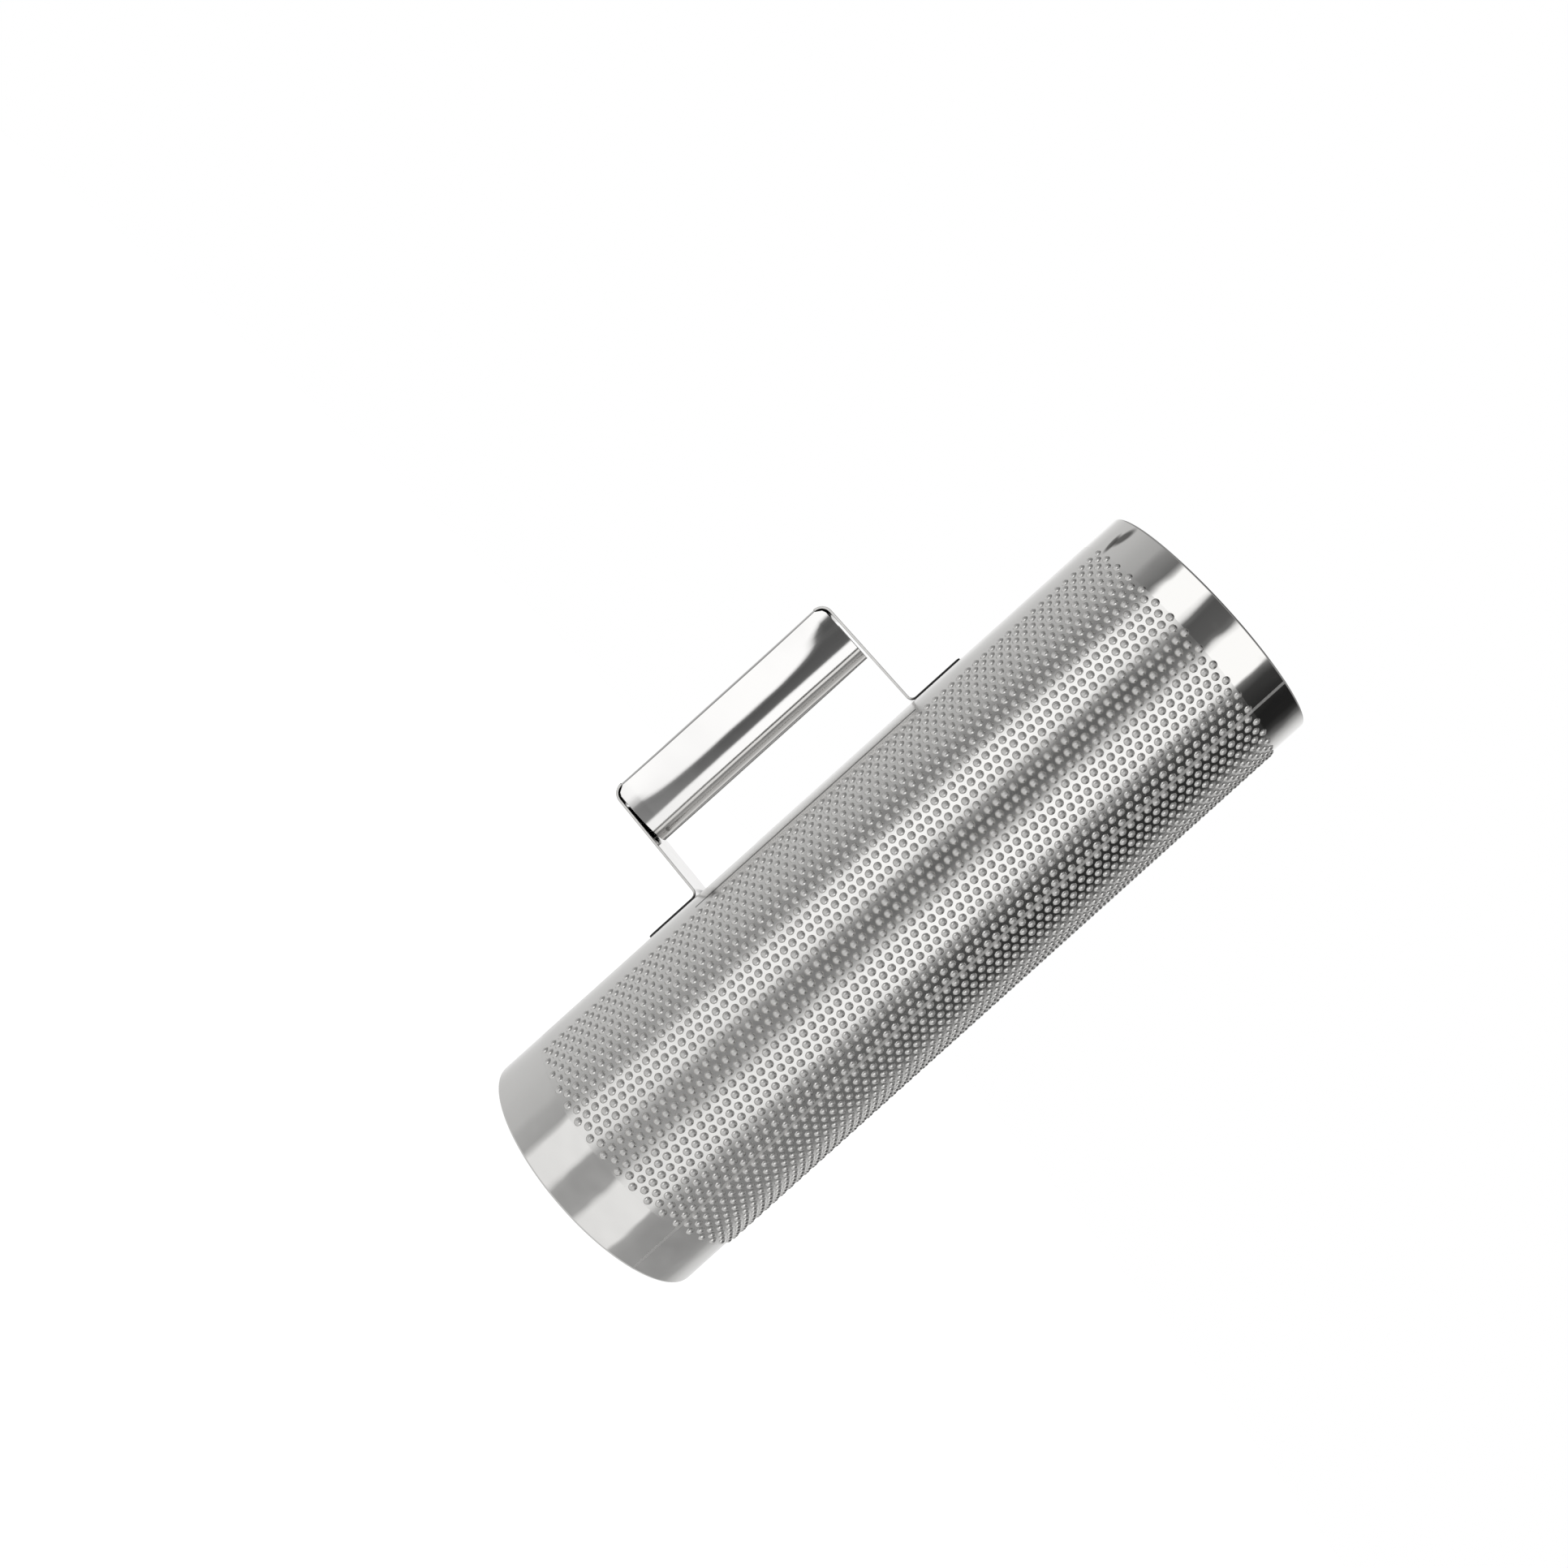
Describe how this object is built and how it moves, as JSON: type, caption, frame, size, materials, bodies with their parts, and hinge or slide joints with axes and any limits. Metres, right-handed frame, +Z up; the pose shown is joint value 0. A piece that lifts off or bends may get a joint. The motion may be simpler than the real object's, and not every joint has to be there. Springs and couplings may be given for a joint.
{
  "type": "guira",
  "caption": "Hand-held metal scraper drum: open steel tube with a field of raised bumps and a folded sheet handle, played by scraping.",
  "frame": {"origin": "on the tube's axis in the plane of the lower rim, on which the instrument stands", "axes": "+Z up along the tube's axis, the handle on the -X side, +Y across the handle"},
  "size_m": [0.1554, 0.1038, 0.302],
  "materials": {
    "tube_steel": "polished stainless steel sheet, mirror on the plain bands and pressed with bumps between them",
    "handle_steel": "polished stainless steel sheet, folded"
  },
  "bodies": {
    "root": {"scraper_tube": "tube_steel", "handle": "handle_steel"}
  },
  "joints": []
}
